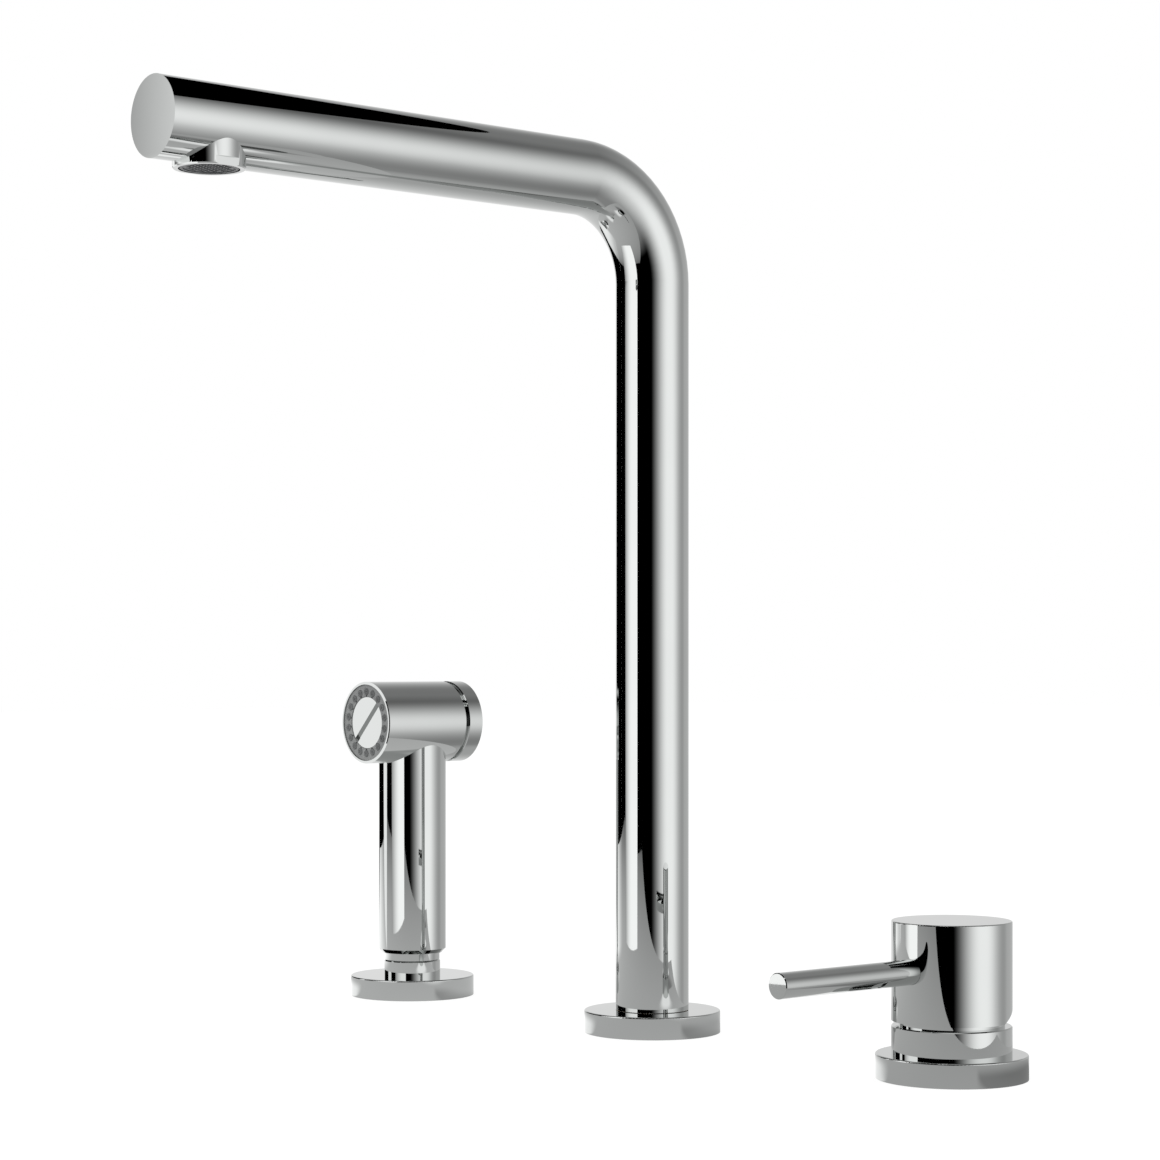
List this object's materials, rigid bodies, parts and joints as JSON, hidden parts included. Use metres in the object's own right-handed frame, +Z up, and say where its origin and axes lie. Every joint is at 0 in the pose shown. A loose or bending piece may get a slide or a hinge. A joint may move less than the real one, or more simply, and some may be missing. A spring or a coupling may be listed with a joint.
{
  "type": "side spray kitchen faucet",
  "caption": "Deck mounted kitchen faucet set: swivel spout with a bent tube, single lever mixer and a pull out side spray, each on a round flange.",
  "frame": {"origin": "centre of the spout flange's underside, on the worktop", "axes": "+X along the row to the mixer, -Y the front, to which spout, lever and spray point, +Z up"},
  "size_m": [0.3864, 0.267, 0.4783],
  "materials": {
    "chrome": "polished",
    "brass": "turned",
    "steel": "bright",
    "rubber": "matt",
    "ceramic": "lapped",
    "white_plastic": "moulded",
    "grey_plastic": "moulded",
    "dark_plastic": "moulded"
  },
  "bodies": {
    "deck_units": {"spout_flange": "chrome", "mixer_flange": "chrome", "spray_flange": "chrome", "flange_gaskets": "rubber", "spout_rubber_washer": "rubber", "spout_steel_washer": "steel", "spout_locknut": "brass", "mixer_rubber_washer": "rubber", "mixer_steel_washer": "steel", "mixer_locknut": "brass", "spray_rubber_washer": "rubber", "spray_steel_washer": "steel", "spray_locknut": "brass", "spout_shank": "brass", "spout_seals": "rubber", "swivel_ring": "white_plastic", "retaining_clip": "steel", "diverter_body": "brass", "diverter_plug": "brass", "diverter_spring": "steel", "mixer_body": "chrome", "cartridge_base": "white_plastic", "port_seals": "rubber", "fixed_disc": "ceramic", "cartridge_housing": "white_plastic", "cartridge_nut": "brass", "spray_holder": "chrome", "holder_liner": "white_plastic"},
    "spout": {"spout_tube": "chrome", "spout_foot": "brass", "spout_end_cap": "chrome", "outlet_collar": "chrome", "aerator_housing": "dark_plastic", "aerator_washer": "rubber", "aerator_honeycomb": "dark_plastic"},
    "diverter_valve": {"diverter_piston": "brass", "diverter_seal": "rubber"},
    "mixer_turret": {"turret": "white_plastic", "lever_pin": "steel"},
    "mixer_lever": {"lever_spindle": "brass", "mixer_cap": "chrome", "lever_rod": "chrome", "grub_screw": "steel"},
    "ceramic_slide": {"moving_disc": "ceramic", "disc_driver": "white_plastic"},
    "hose_end": {"hose_swivel": "brass", "swivel_seal": "rubber"},
    "hand_spray": {"spray_foot": "chrome", "spray_handle": "chrome", "riser_tube": "white_plastic", "spray_head": "chrome", "nozzle_plate": "grey_plastic", "face_screw": "chrome", "diffuser_plate": "white_plastic", "valve_body": "white_plastic", "button_spring": "steel"},
    "spray_button": {"push_button": "chrome", "valve_stem": "brass", "valve_seal": "rubber"}
  },
  "joints": [
    {"name": "spout_swivel", "type": "hinge", "parent": "deck_units", "child": "spout", "pos_m": [0, 0, 0.03], "axis": [0, 0, 1], "continuous": true},
    {"name": "diverter_slide", "type": "slide", "parent": "deck_units", "child": "diverter_valve", "axis": [0, 0, -1], "range_m": [0, 0.004], "stiffness_N_per_m": 300, "springref_m": -0.004, "deforming": ["diverter_spring"]},
    {"name": "temperature_turn", "type": "hinge", "parent": "deck_units", "child": "mixer_turret", "pos_m": [0.1653, 0, 0.026], "axis": [0, 0, 1], "range_deg": [-50, 50]},
    {"name": "flow_lift", "type": "hinge", "parent": "mixer_turret", "child": "mixer_lever", "pos_m": [0.1653, 0, 0.026], "axis": [-1, 0, 0], "range_deg": [0, 25]},
    {"name": "disc_slide", "type": "slide", "parent": "mixer_turret", "child": "ceramic_slide", "axis": [0, -1, 0], "range_m": [0, 0.0035]},
    {"name": "spray_lift", "type": "slide", "parent": "deck_units", "child": "hose_end", "axis": [0, 0, 1], "range_m": [0, 0.3]},
    {"name": "spray_turn", "type": "hinge", "parent": "hose_end", "child": "hand_spray", "pos_m": [-0.1653, 0, 0.016], "axis": [0, 0, 1], "continuous": true},
    {"name": "button_press", "type": "slide", "parent": "hand_spray", "child": "spray_button", "axis": [0, -1, 0], "range_m": [0, 0.002], "stiffness_N_per_m": 1500, "springref_m": -0.003, "deforming": ["button_spring"]}
  ],
  "couplings": [
    {"joint": "disc_slide", "follows": "flow_lift", "m_per_rad": 0.00795}
  ]
}
